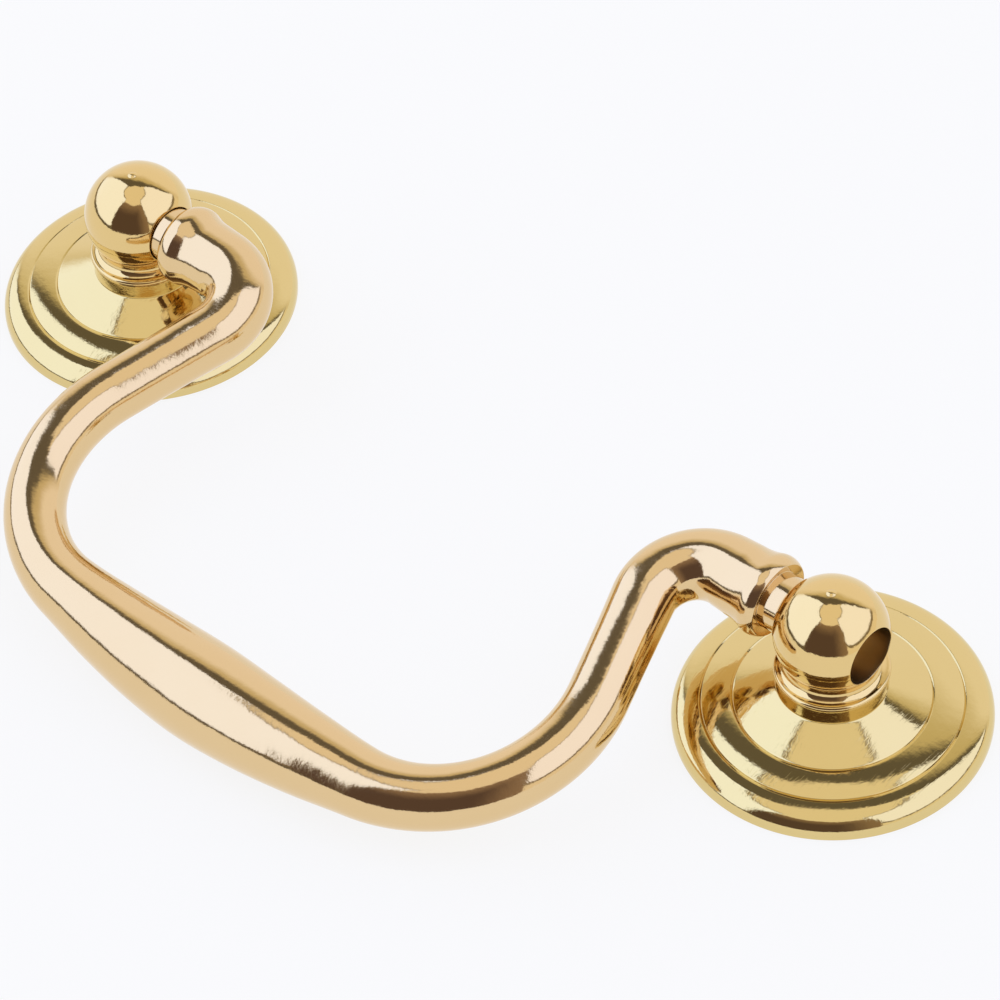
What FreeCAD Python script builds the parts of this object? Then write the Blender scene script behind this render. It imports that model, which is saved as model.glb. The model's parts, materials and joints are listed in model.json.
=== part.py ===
# Swan-neck bail pull of solid brass: two turned rosettes, two ball-headed posts and a swinging bail.
# Millimetres and degrees. X is the swing axis, +Z points out of the drawer front, the bail lies towards -Y.
import FreeCAD
import Part
import math
import os
import Sketcher

Vector = FreeCAD.Vector
SIDES = (("right", 1), ("left", -1))

# Driving dimensions: alias, value, what it sizes
DIMENSIONS = (
    ("boring", 76.2, "screw hole to screw hole"),
    ("rosette_radius", 12.85, "rosette, outside"),
    ("rim_land", 0.2, "upright land at the foot of the rim"),
    ("rim_roll", 1.49, "rounded edge above that land, radius of its section"),
    ("roll_tilt", 25.0, "tilt of the surface where that edge runs into the crown"),
    ("crown_radius", 4.7, "crowned lower tier, radius of its section"),
    ("crown_tilt", 5.0, "tilt at the inner edge of the crown"),
    ("tier_step", 0.06, "small step up to the next tier and to the cone"),
    ("tier_width", 2.52, "upper tier, across"),
    ("tier_foot_tilt", 18.0, "tilt at the outer edge of the upper tier"),
    ("tier_top_tilt", 6.0, "tilt at its inner edge"),
    ("cone_rise", 1.45, "height of the cone"),
    ("collar_radius", 4.5, "collar under the post"),
    ("collar_top", 5.55, "top of the collar above the drawer front"),
    ("recess_radius", 9.6, "relief in the rosette's back"),
    ("recess_depth", 0.8, "depth of that relief"),
    ("spigot_radius", 3.2, "post's spigot in the rosette"),
    ("spigot_clearance", 0.1, "spigot in its hole, on the radius"),
    ("spigot_recess", 0.2, "spigot's end above the drawer front"),
    ("flange_thickness", 0.5, "beaded flange at the post's foot"),
    ("flange_cove", 0.7, "cove from the flange up to the neck"),
    ("neck_radius", 3.7, "neck under the ball"),
    ("neck_rise", 0.95, "height of the neck above the flange"),
    ("ball_radius", 4.65, "ball of the post"),
    ("pip_radius", 0.4, "turning pip on top of the ball"),
    ("pip_height", 0.12, "height of that pip"),
    ("cross_bore_radius", 2.5, "bore across the ball"),
    ("thread_radius", 1.725, "tapped hole in the spigot, minor radius"),
    ("thread_web", 1.9, "from the cross bore down to the end of full thread"),
    ("drill_point", 118.0, "point angle of the tapping drill"),
    ("pin_clearance", 0.075, "bail's pin in the cross bore, on the radius"),
    ("pin_reach", 1.0, "pin's tip beyond the middle of the ball"),
    ("pin_chamfer", 0.4, "chamfer on the pin's tip"),
    ("end_gap", 0.7, "bail's end face to the ball"),
    ("rim_radius", 3.2, "rim round that end face"),
    ("bell_radius", 3.53, "bell-shaped end where it is widest"),
    ("bell_rounding", 1.6, "rounding from the bell's widest place in to the rim"),
    ("dish_depth", 0.3, "dish from the rim down to the pin"),
    ("bell_length", 3.35, "bell from the knuckle to the end face"),
    ("knuckle_length", 1.4, "straight knuckle behind the bell"),
    ("neck_bend", 4.5, "bend of the swan neck, on the centreline"),
    ("neck_lean", 18.0, "outward lean of the neck below that bend"),
    ("shoulder_bend", 12.8, "bend of the shoulder, on the centreline"),
    ("grip_bow", 134.0, "slight bow of the grip, on the centreline"),
    ("drop", 32.7, "swing axis to the middle of the grip"),
    ("knuckle_tube", 3.12, "section radius of the knuckle where the bell begins"),
    ("neck_tube", 2.8, "section radius in the middle of the neck"),
    ("lean_tube", 2.55, "section radius between neck and shoulder"),
    ("shoulder_top_tube", 2.57, "section radius a quarter of the way round the shoulder"),
    ("shoulder_foot_tube", 2.65, "section radius three quarters of the way round"),
    ("grip_end_tube", 2.93, "section radius at the end of the grip"),
    ("grip_outer_tube", 3.48, "section radius a third of the way to the middle of the grip"),
    ("grip_inner_tube", 3.94, "section radius two thirds of the way"),
    ("grip_tube", 4.18, "section radius in the middle of the grip"),
    ("lie_gap", 0.05, "resting grip above the drawer front"),
)

# Sizes that several pieces share, as formulas on the sheet
FLANGE_TOP = "(Size.collar_top + Size.flange_thickness)"
NECK_TOP = f"({FLANGE_TOP} + Size.neck_rise)"
SWING_HEIGHT = f"({NECK_TOP} + sqrt(Size.ball_radius ^ 2 - Size.neck_radius ^ 2))"
PIN_RADIUS = "(Size.cross_bore_radius - Size.pin_clearance)"
PIN_TIP = "(Size.boring / 2 + Size.pin_reach)"
END_FACE = "(Size.boring / 2 - Size.ball_radius - Size.end_gap)"
KNUCKLE_END = f"({END_FACE} - Size.bell_length)"


def make_sheet(doc):
    """The sheet of driving dimensions."""
    sheet = doc.addObject("Spreadsheet::Sheet", "Size")
    for row, (alias, value, note) in enumerate(DIMENSIONS, start=1):
        sheet.set(f"A{row}", note)
        sheet.set(f"B{row}", str(value))
        sheet.setAlias(f"B{row}", alias)
    doc.recompute()


def make_body(doc, label):
    """An empty body whose label names its file."""
    body = doc.addObject("PartDesign::Body", label)
    body.Label = label
    return body


def origin_plane(body, role):
    """One of the body's own origin planes."""
    return next(item for item in body.Origin.OriginFeatures if item.Role == role)


def make_sketch(body, role, name):
    """An empty sketch on one of the body's origin planes."""
    sketch = body.newObject("Sketcher::SketchObject", name)
    sketch.AttachmentSupport = [(origin_plane(body, role), "")]
    sketch.MapMode = "FlatFace"
    return sketch


def value_of(sketch, formula):
    """A formula's present value, to draw with before the solver takes over."""
    result = sketch.evalExpression(formula)
    return float(getattr(result, "Value", result))


def constrain(sketch, kind, *where, formula=None):
    """Adds a constraint, bound to a formula where it is a dimension."""
    if formula is None:
        return sketch.addConstraint(Sketcher.Constraint(kind, *where))
    value = value_of(sketch, formula)
    if kind == "Angle":
        value = math.radians(value)
    index = sketch.addConstraint(Sketcher.Constraint(kind, *where, value))
    sketch.setExpression(f"Constraints[{index}]", formula)
    return index


def pin_corner(sketch, edge, end, formula, axis_edge, kind):
    """Holds one coordinate of an edge's end at its formula, or on the axis where that is nought."""
    if formula == "0":
        constrain(sketch, "PointOnObject", edge, end, axis_edge)
    else:
        constrain(sketch, kind, -1, 1, edge, end, formula=formula)


def arc_between(start, end, radius, turn):
    """The short arc from start to end; turn is 1 to the left and -1 to the right."""
    chord = end - start
    left = Vector(-chord.y, chord.x, 0) / chord.Length
    rise = math.sqrt(max(radius ** 2 - (chord.Length / 2) ** 2, 0))
    centre = (start + end) / 2 + left * rise * turn
    first, last = (start, end) if turn > 0 else (end, start)
    angles = [math.atan2(point.y - centre.y, point.x - centre.x) for point in (first, last)]
    return Part.ArcOfCircle(Part.Circle(centre, Vector(0, 0, 1), radius), *angles)


def draw_outline(sketch, corners):
    """A closed outline of corners, each with the formulas of its place.

    A corner that an arc leaves also has the arc's radius, or None for a half-round, and its turn.
    """
    points = [Vector(value_of(sketch, x), value_of(sketch, y), 0) for x, y, *_ in corners]
    ends = []
    for index, (_, _, *bend) in enumerate(corners):
        start, end = points[index], points[(index + 1) % len(points)]
        if bend:
            formula, turn = bend
            radius = value_of(sketch, formula) if formula else (end - start).Length / 2
            edge = sketch.addGeometry(arc_between(start, end, radius, turn))
            ends.append((edge, 1, 2) if turn > 0 else (edge, 2, 1))
        else:
            edge = sketch.addGeometry(Part.LineSegment(start, end))
            ends.append((edge, 1, 2))
    for index, (x, y, *bend) in enumerate(corners):
        edge, first, _ = ends[index]
        before, _, last = ends[index - 1]
        constrain(sketch, "Coincident", before, last, edge, first)
        pin_corner(sketch, edge, first, x, -2, "DistanceX")
        pin_corner(sketch, edge, first, y, -1, "DistanceY")
        if bend and bend[0]:
            constrain(sketch, "Radius", edge, formula=bend[0])
        elif bend:
            constrain(sketch, "Symmetric", edge, 1, edge, 2, edge, 3)


def draw_circle(sketch, x, y, radius):
    """A circle whose centre and radius are formulas."""
    centre = Vector(value_of(sketch, x), value_of(sketch, y), 0)
    edge = sketch.addGeometry(Part.Circle(centre, Vector(0, 0, 1), value_of(sketch, radius)))
    pin_corner(sketch, edge, 3, x, -2, "DistanceX")
    pin_corner(sketch, edge, 3, y, -1, "DistanceY")
    constrain(sketch, "Radius", edge, formula=radius)


def turn_about(body, sketch, axis, name):
    """Adds a full turn of the sketch about one of its own axes."""
    feature = body.newObject("PartDesign::Revolution", name)
    feature.Profile = sketch
    feature.ReferenceAxis = (sketch, [axis])
    feature.Angle = 360
    return feature


def edge_name(sketch, geometry):
    """The name of the edge that one piece of a sketch's geometry has become."""
    middle = sketch.Geometry[geometry].toShape()
    centre = middle.valueAt((middle.FirstParameter + middle.LastParameter) / 2)
    distances = [edge.distToShape(Part.Vertex(centre))[0] for edge in sketch.Shape.Edges]
    return f"Edge{distances.index(min(distances)) + 1}"


def make_rosette(doc, side, sign):
    """Turned rosette: rounded rim, crowned lower tier, upper tier, cone and collar, relieved behind."""
    body = make_body(doc, f"{side}_rosette")
    sketch = make_sketch(body, "XZ_Plane", f"{side}_rosette_section")
    hole = "(Size.spigot_radius + Size.spigot_clearance)"

    # Where each curve of the section ends, going inwards and upwards from the rim
    roll_end = "(Size.rosette_radius - Size.rim_roll * (1 - sin(Size.roll_tilt)))"
    roll_top = "(Size.rim_land + Size.rim_roll * cos(Size.roll_tilt))"
    crown_end = f"({roll_end} - Size.crown_radius * (sin(Size.roll_tilt) - sin(Size.crown_tilt)))"
    crown_top = f"({roll_top} + Size.crown_radius * (cos(Size.crown_tilt) - cos(Size.roll_tilt)))"
    tier_radius = "(Size.tier_width / (sin(Size.tier_foot_tilt) - sin(Size.tier_top_tilt)))"
    tier_rise = f"({tier_radius} * (cos(Size.tier_top_tilt) - cos(Size.tier_foot_tilt)))"
    tier_foot = f"({crown_top} + Size.tier_step)"
    tier_end = f"({crown_end} - Size.tier_width)"
    cone_foot = f"({tier_foot} + {tier_rise} + Size.tier_step)"
    draw_outline(sketch, (
        (hole, "Size.recess_depth"),
        ("Size.recess_radius", "Size.recess_depth"),
        ("Size.recess_radius", "0"),
        ("Size.rosette_radius", "0"),
        ("Size.rosette_radius", "Size.rim_land", "Size.rim_roll", 1),
        (roll_end, roll_top, "Size.crown_radius", 1),
        (crown_end, crown_top),
        (crown_end, tier_foot, tier_radius, 1),
        (tier_end, f"{tier_foot} + {tier_rise}"),
        (tier_end, cone_foot),
        ("Size.collar_radius", f"{cone_foot} + Size.cone_rise"),
        ("Size.collar_radius", "Size.collar_top"),
        (hole, "Size.collar_top"),
    ))
    turn_about(body, sketch, "V_Axis", f"{side}_rosette_turning")
    body.setExpression("Placement.Base.x", f"{sign} * Size.boring / 2")
    return body


def make_post(doc, side, sign):
    """Ball-headed post: spigot, beaded flange, cove and ball, bored across and tapped from below."""
    body = make_body(doc, f"{side}_post")
    section = make_sketch(body, "XZ_Plane", f"{side}_post_section")
    ball_top = f"{SWING_HEIGHT} + Size.ball_radius"
    pip_foot = "sqrt(Size.ball_radius ^ 2 - Size.pip_radius ^ 2)"
    pip_cap = f"(Size.ball_radius + Size.pip_height - {pip_foot})"
    pip_curve = f"(Size.pip_radius ^ 2 + {pip_cap} ^ 2) / (2 * {pip_cap})"
    bead_radius = "Size.neck_radius + Size.flange_cove"
    draw_outline(section, (
        ("0", "Size.spigot_recess"),
        ("Size.spigot_radius", "Size.spigot_recess"),
        ("Size.spigot_radius", "Size.collar_top"),
        (bead_radius, "Size.collar_top", None, 1),
        (bead_radius, FLANGE_TOP, "Size.flange_cove", -1),
        ("Size.neck_radius", f"{FLANGE_TOP} + Size.flange_cove"),
        ("Size.neck_radius", NECK_TOP, "Size.ball_radius", 1),
        ("Size.pip_radius", f"{SWING_HEIGHT} + {pip_foot}", pip_curve, 1),
        ("0", f"{ball_top} + Size.pip_height"),
    ))
    turning = turn_about(body, section, "V_Axis", f"{side}_post_turning")
    doc.recompute()
    solid = turning.Shape.Volume

    bore = make_sketch(body, "YZ_Plane", f"{side}_cross_bore_circle")
    draw_circle(bore, "0", SWING_HEIGHT, "Size.cross_bore_radius")
    cut = body.newObject("PartDesign::Pocket", f"{side}_cross_bore")
    cut.Profile = bore
    cut.SideType = "Symmetric"
    cut.Type = "ThroughAll"
    doc.recompute()
    bored = cut.Shape.Volume

    mouth = make_sketch(body, "XY_Plane", f"{side}_thread_mouth")
    mouth.setExpression("AttachmentOffset.Base.z", "Size.spigot_recess")
    draw_circle(mouth, "0", "0", "Size.thread_radius")
    doc.recompute()
    thread = body.newObject("PartDesign::Hole", f"{side}_thread")
    thread.Profile = mouth
    thread.Reversed = True
    thread.DepthType = "Dimension"
    thread.DrillPoint = "Angled"
    thread.setExpression("Diameter", "2 * Size.thread_radius")
    thread.setExpression("DrillPointAngle", "Size.drill_point")
    thread_top = f"{SWING_HEIGHT} - Size.cross_bore_radius - Size.thread_web"
    thread.setExpression("Depth", f"{thread_top} - Size.spigot_recess")
    doc.recompute()
    if not thread.Shape.Volume < bored < solid:
        raise RuntimeError(f"a hole in {body.Label} cut nothing")
    body.setExpression("Placement.Base.x", f"{sign} * Size.boring / 2")
    return body


def draw_spine(sketch):
    """The bail's centreline from end to end, in tangent lines and arcs; gives each stretch's number."""
    end_x = value_of(sketch, KNUCKLE_END)
    neck_x = end_x - value_of(sketch, "Size.knuckle_length")
    neck, lean = value_of(sketch, "Size.neck_bend"), math.radians(value_of(sketch, "Size.neck_lean"))
    shoulder, bow = value_of(sketch, "Size.shoulder_bend"), value_of(sketch, "Size.grip_bow")
    drop = value_of(sketch, "Size.drop")

    # The lean carries the shoulder's centre down until its arc meets the bow from inside
    across = Vector(-math.cos(lean), -math.sin(lean), 0)
    along = Vector(math.sin(lean), -math.cos(lean), 0)
    neck_centre = Vector(neck_x, -neck, 0)
    bow_centre = Vector(0, bow - drop, 0)
    offset = neck_centre + across * (neck + shoulder) - bow_centre
    slope = offset.dot(along)
    run = -slope + math.sqrt(slope ** 2 - offset.dot(offset) + (bow - shoulder) ** 2)
    lean_top = neck_centre + across * neck
    lean_foot = lean_top + along * run
    shoulder_centre = lean_foot + across * shoulder
    bow_angle = math.atan2(shoulder_centre.x, bow_centre.y - shoulder_centre.y)

    def add_line(sign, start, end):
        ends = [Vector(sign * point.x, point.y, 0) for point in (start, end)][::sign]
        return sketch.addGeometry(Part.LineSegment(*ends))

    def add_arc(sign, centre, radius, *angles):
        if sign < 0:
            angles = [math.pi - angle for angle in reversed(angles)]
        circle = Part.Circle(Vector(sign * centre.x, centre.y, 0), Vector(0, 0, 1), radius)
        return sketch.addGeometry(Part.ArcOfCircle(circle, *angles))

    quarter = math.pi / 2
    grip = add_arc(1, bow_centre, bow, -quarter - bow_angle, -quarter + bow_angle)
    constrain(sketch, "PointOnObject", grip, 3, -2)
    constrain(sketch, "Radius", grip, formula="Size.grip_bow")
    constrain(sketch, "DistanceY", -1, 1, grip, 3, formula="Size.grip_bow - Size.drop")
    stretches = {"grip": grip}
    for side, sign in SIDES:
        knuckle = add_line(sign, Vector(end_x, 0, 0), Vector(neck_x, 0, 0))
        neck_arc = add_arc(sign, neck_centre, neck, quarter, math.pi + lean)
        lean_line = add_line(sign, lean_top, lean_foot)
        shoulder_arc = add_arc(sign, shoulder_centre, shoulder, bow_angle - quarter, lean)
        first, last = (1, 2)[::sign]
        constrain(sketch, "PointOnObject", knuckle, first, -1)
        constrain(sketch, "Horizontal", knuckle)
        constrain(sketch, "Tangent", knuckle, last, neck_arc, first)
        constrain(sketch, "Tangent", neck_arc, last, lean_line, first)
        constrain(sketch, "Tangent", lean_line, last, shoulder_arc, last)
        constrain(sketch, "Tangent", shoulder_arc, first, grip, last)
        from_middle = ((-1, 1), (knuckle, first))[::sign]
        constrain(sketch, "DistanceX", *from_middle[0], *from_middle[1], formula=KNUCKLE_END)
        constrain(sketch, "Distance", knuckle, formula="Size.knuckle_length")
        constrain(sketch, "Radius", neck_arc, formula="Size.neck_bend")
        constrain(sketch, "Angle", lean_line, formula=f"{sign} * (Size.neck_lean - 90)")
        constrain(sketch, "Radius", shoulder_arc, formula="Size.shoulder_bend")
        stretches[side, "knuckle"] = knuckle
        stretches[side, "neck"] = neck_arc
        stretches[side, "lean"] = lean_line
        stretches[side, "shoulder"] = shoulder_arc
    return stretches


def add_end(body, side, sign):
    """One turned end of the bail: the bell rounded in to its rim, the dished face and the pin."""
    section = make_sketch(body, "XZ_Plane", f"{side}_end_section")
    facing = FreeCAD.Rotation(Vector(0, 1, 0), 90 - 90 * sign)
    section.AttachmentOffset = FreeCAD.Placement(Vector(0, 0, 0), facing)

    # The bell swells from the knuckle in a hollow curve that runs into its rounding
    rim_fall = "(Size.bell_rounding - Size.bell_radius + Size.rim_radius)"
    widest = f"({END_FACE} - sqrt(Size.bell_rounding ^ 2 - {rim_fall} ^ 2))"
    swell = f"({widest} - {KNUCKLE_END})"
    slope = f"(2 * atan((Size.bell_radius - Size.knuckle_tube) / {swell}))"
    hollow = f"({swell} / sin({slope}) - Size.bell_rounding)"
    draw_outline(section, (
        (KNUCKLE_END, "0"),
        (PIN_TIP, "0"),
        (PIN_TIP, f"{PIN_RADIUS} - Size.pin_chamfer"),
        (f"{PIN_TIP} - Size.pin_chamfer", PIN_RADIUS),
        (f"{END_FACE} - Size.dish_depth", PIN_RADIUS),
        (END_FACE, "Size.rim_radius", "Size.bell_rounding", 1),
        (f"{widest} - Size.bell_rounding * sin({slope})",
         f"Size.bell_radius - Size.bell_rounding * (1 - cos({slope}))", hollow, -1),
        (KNUCKLE_END, "Size.knuckle_tube"),
    ))
    turn_about(body, section, "H_Axis", f"{side}_end")


def make_bail(doc):
    """Swan-neck bail: one tube of changing section along the spine, with a turned end on each side."""
    body = make_body(doc, "bail")
    spine = make_sketch(body, "XY_Plane", "bail_spine")
    stretches = draw_spine(spine)
    doc.recompute()

    # Sections in path order: down the right side, across the grip, up the left side
    half = (
        ("knuckle", 0, "knuckle_tube"),
        ("neck", 0.5, "neck_tube"),
        ("lean", 0.5, "lean_tube"),
        ("shoulder", 0.75, "shoulder_top_tube"),
        ("shoulder", 0.25, "shoulder_foot_tube"),
    )
    swell = ("grip_end_tube", "grip_outer_tube", "grip_inner_tube", "grip_tube")
    middle = len(swell) - 1
    stations = [(("right", name), place, size) for name, place, size in half]
    for step in range(2 * middle, -1, -1):
        stations.append(("grip", step / (2 * middle), swell[middle - abs(step - middle)]))
    stations += [(("left", name), 1 - place, size) for name, place, size in reversed(half)]

    sections = []
    for number, (stretch, place, size) in enumerate(stations, start=1):
        section = body.newObject("Sketcher::SketchObject", f"bail_section_{number}")
        section.AttachmentSupport = [(spine, edge_name(spine, stretches[stretch]))]
        section.MapMode = "NormalToEdge"
        section.MapPathParameter = place
        section.MapReversed = stretch == "grip" or "shoulder" in stretch
        draw_circle(section, "0", "0", f"Size.{size}")
        sections.append(section)
    tube = body.newObject("PartDesign::AdditivePipe", "bail_tube")
    tube.Profile = sections[0]
    tube.Spine = (spine, [])
    tube.Sections = sections[1:]
    tube.Transformation = "Multisection"
    tube.Mode = "Binormal"
    tube.Binormal = Vector(0, 0, 1)
    doc.recompute()

    for side, sign in SIDES:
        add_end(body, side, sign)
        doc.recompute()

    # The bail lies with its grip on the drawer front; the rotation's axis is set before its angle is bound
    body.Placement = FreeCAD.Placement(Vector(0, 0, 0), FreeCAD.Rotation(Vector(1, 0, 0), 1))
    lie_angle = f"asin(({SWING_HEIGHT} - Size.grip_tube - Size.lie_gap) / Size.drop)"
    body.setExpression("Placement.Base.z", SWING_HEIGHT)
    body.setExpression("Placement.Rotation.Angle", lie_angle)
    return body


def check(doc, bodies):
    """Stops the build where an object failed or a piece isn't one sound solid."""
    for item in doc.Objects:
        if "Invalid" in item.State or "Error" in item.State:
            raise RuntimeError(f"{item.Label} failed: {item.State}")
    for body in bodies:
        if body.Shape.isNull() or not body.Shape.isValid() or len(body.Shape.Solids) != 1:
            raise RuntimeError(f"{body.Label} is not one sound solid")


def main():
    doc = FreeCAD.newDocument("BailPull")
    make_sheet(doc)
    bodies = []
    for side, sign in SIDES:
        bodies.append(make_rosette(doc, side, sign))
        bodies.append(make_post(doc, side, sign))
    bodies.append(make_bail(doc))
    doc.recompute()
    check(doc, bodies)
    os.makedirs("parts", exist_ok=True)
    for body in bodies:
        body.Shape.exportStep(f"parts/{body.Label}.step")
        box = body.Shape.optimalBoundingBox(False)
        size = f"{box.XLength:.2f} x {box.YLength:.2f} x {box.ZLength:.2f} mm"
        print(f"{body.Label}: {body.Shape.Volume:.1f} mm3, {size}")


main()
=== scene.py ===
import json
import math

import bmesh
import bpy
from bpy.props import FloatProperty, FloatVectorProperty, IntProperty, PointerProperty
from mathutils import Matrix, Vector


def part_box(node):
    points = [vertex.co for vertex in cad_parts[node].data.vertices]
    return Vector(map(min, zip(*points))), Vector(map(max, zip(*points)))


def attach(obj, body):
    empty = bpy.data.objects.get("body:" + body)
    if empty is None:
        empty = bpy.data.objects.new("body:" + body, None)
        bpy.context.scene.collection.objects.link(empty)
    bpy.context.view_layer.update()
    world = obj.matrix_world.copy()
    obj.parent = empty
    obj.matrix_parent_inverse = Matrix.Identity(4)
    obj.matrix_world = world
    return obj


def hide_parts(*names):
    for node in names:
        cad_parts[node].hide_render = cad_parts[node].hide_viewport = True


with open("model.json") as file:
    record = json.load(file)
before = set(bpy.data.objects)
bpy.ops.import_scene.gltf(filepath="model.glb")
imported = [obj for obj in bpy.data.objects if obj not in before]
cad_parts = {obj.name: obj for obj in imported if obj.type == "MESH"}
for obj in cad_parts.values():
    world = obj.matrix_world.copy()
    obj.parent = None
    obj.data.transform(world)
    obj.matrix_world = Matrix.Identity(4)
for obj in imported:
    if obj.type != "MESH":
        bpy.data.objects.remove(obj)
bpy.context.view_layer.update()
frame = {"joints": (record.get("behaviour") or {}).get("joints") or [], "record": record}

bl_info = {
    "name": "Bail Pull",
    "version": (1, 0, 0),
    "blender": (4, 5, 0),
    "location": "View3D > Sidebar > Bail Pull",
    "description": "Polished brass bail pull: rosettes, ball-headed posts and a swan-neck bail",
    "category": "Object",
}

MM = 0.001
X_AXIS = Vector((1, 0, 0))
Y_AXIS = Vector((0, 1, 0))
Z_AXIS = Vector((0, 0, 1))
ORIGIN = Vector((0, 0, 0))
SIDES = (("right", 1), ("left", -1))
WHITE = (1, 1, 1, 1)

# Margins and steps of the mesh work
CRISP = math.radians(25)        # edges sharper than this are broken
CREASE = math.radians(35)       # edges sharper than this stay hard in the shading
BREAK_SEGMENTS = 4
SEAM = 0.0001 * MM              # points this close on a turned seam are one
SLIVER = 0.001 * MM             # points this close on a joined, wound or mirrored mesh are one
ON_PLANE = 0.00001 * MM         # points this close to a cutting plane lie on it
BALL_LAP = 0.1 * MM             # how far the ball reaches into the neck
NECK_LAP = 0.2 * MM             # how far the neck reaches into the ball
PIP_LAP = 0.3 * MM              # how far the pip reaches into the ball
BORE_MARGIN = 0.02 * MM         # how far the bore's finish reaches past its wall
CUT_MARGIN = 0.15 * MM          # how far a cutter reaches past what it cuts
DRILL_PLAY = 0.03 * MM          # how far the drill's wall stays inside the thread's minor radius
THREAD_STEPS = 48
PIP_STEPS = 48
PIN_RINGS = 8
BELL_RINGS = 16
HOLLOW_RINGS = 10

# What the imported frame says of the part
SWING_HEIGHT = frame["joints"][0]["pos_m"][2]
BORING = frame["record"]["mounts"][0]["dims"]["spacing_x_mm"] * MM
ROSETTE_RADIUS = (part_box("right_rosette")[1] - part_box("right_rosette")[0]).x / 2
COLLAR_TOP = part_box("right_rosette")[1].z
BALL_RADIUS = (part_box("right_post")[1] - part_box("right_post")[0]).x / 2
PIN_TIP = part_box("bail")[1].x


# Settings that a user would change

def length(name, description, millimetres):
    """A length setting, given in millimetres."""
    return FloatProperty(
        name=name, description=description, default=millimetres * MM, unit="LENGTH", precision=5)


def angle(name, description, degrees):
    """An angle setting, given in degrees."""
    return FloatProperty(
        name=name, description=description, default=math.radians(degrees), subtype="ANGLE")


def share(name, description, default):
    """A plain number from nought to one."""
    return FloatProperty(
        name=name, description=description, default=default, min=0, max=1, subtype="FACTOR")


def colour(name, description, default):
    """A linear colour."""
    return FloatVectorProperty(
        name=name, description=description, default=default, min=0, max=10, subtype="COLOR", size=3)


def count(name, description, default):
    """How many steps a curve is made of."""
    return IntProperty(name=name, description=description, default=default, min=3)


class RosetteSizes(bpy.types.PropertyGroup):
    """Sizes of the turned rosettes"""
    radius: length("Radius", "Rosette, outside", ROSETTE_RADIUS / MM)
    rim_land: length("Rim land", "Upright land at the foot of the rim", 0.2)
    rim_roll: length("Rim roll", "Rounded edge above that land, radius of its section", 1.49)
    roll_tilt: angle("Roll tilt", "Tilt where that edge runs into the crown", 25)
    crown_radius: length("Crown", "Crowned lower tier, radius of its outer arc", 3.191)
    crown_break: angle("Crown break", "Tilt where the crown's outer arc runs into its inner one", 12)
    crown_flat: length("Flat crown", "Flatter inner arc of the crown, radius", 7.384)
    crown_tilt: angle("Crown tilt", "Tilt at the inner edge of the crown", 5)
    crown_step: length("Crown step", "Small step up from the lower tier to the upper", 0.12)
    tier_step: length("Tier step", "Small step up from the upper tier to the cone", 0.06)
    tier_width: length("Upper tier", "Upper tier, across", 2.52)
    tier_foot_tilt: angle("Tier foot tilt", "Tilt at the outer edge of the upper tier", 18)
    tier_top_tilt: angle("Tier top tilt", "Tilt at its inner edge", 6)
    quirk_width: length("Quirk width", "Fine groove at the foot of each step, across", 0.2)
    quirk_depth: length("Quirk depth", "Depth of that groove", 0.11)
    cone_rise: length("Cone rise", "Height of the cone", 1.45)
    collar_radius: length("Collar", "Collar under the post", 4.5)
    collar_top: length("Collar top", "Top of the collar above the drawer front", COLLAR_TOP / MM)
    recess_radius: length("Relief radius", "Relief in the back", 9.6)
    recess_depth: length("Relief depth", "Depth of that relief", 0.8)
    hole_radius: length("Hole", "Hole for the post's spigot", 3.3)
    edge_break: length("Edge break", "Polish on the crisp edges", 0.025)
    around: count("Steps around", "Faces round a full turn", 224)


class PostSizes(bpy.types.PropertyGroup):
    """Sizes of the ball-headed posts"""
    ball_radius: length("Ball", "Ball of the post", BALL_RADIUS / MM)
    bore_radius: length("Cross bore", "Bore across the ball", 2.5)
    bore_break: length("Bore break", "Polish on the bore's mouth", 0.1)
    neck_radius: length("Neck", "Neck under the ball", 3.7)
    neck_rise: length("Neck rise", "Height of the neck above the flange", 0.95)
    flange_thickness: length("Flange", "Beaded flange at the foot", 0.5)
    flange_cove: length("Flange cove", "Cove from the flange up to the neck", 0.7)
    spigot_radius: length("Spigot", "Spigot in the rosette", 3.2)
    spigot_recess: length("Spigot recess", "Spigot's end above the drawer front", 0.2)
    thread_radius: length("Thread", "Tapped hole, minor radius", 1.725)
    thread_major: length("Thread groove", "Thread's major radius", 2.083)
    thread_pitch: length("Thread pitch", "Rise of the thread in a turn", 0.794)
    thread_top: length("Thread top", "End of the tapping drill's full width above the drawer front", 5.4163)
    thread_runout: length("Thread run-out", "Drilled length above the thread", 0.4)
    drill_point: angle("Drill point", "Point angle of the tapping drill", 118)
    pip_radius: length("Pip", "Turning pip on top of the ball", 0.4)
    pip_height: length("Pip height", "Height of that pip", 0.12)
    edge_break: length("Edge break", "Polish on the crisp edges", 0.05)
    around: count("Steps around", "Faces round a full turn", 192)


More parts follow.
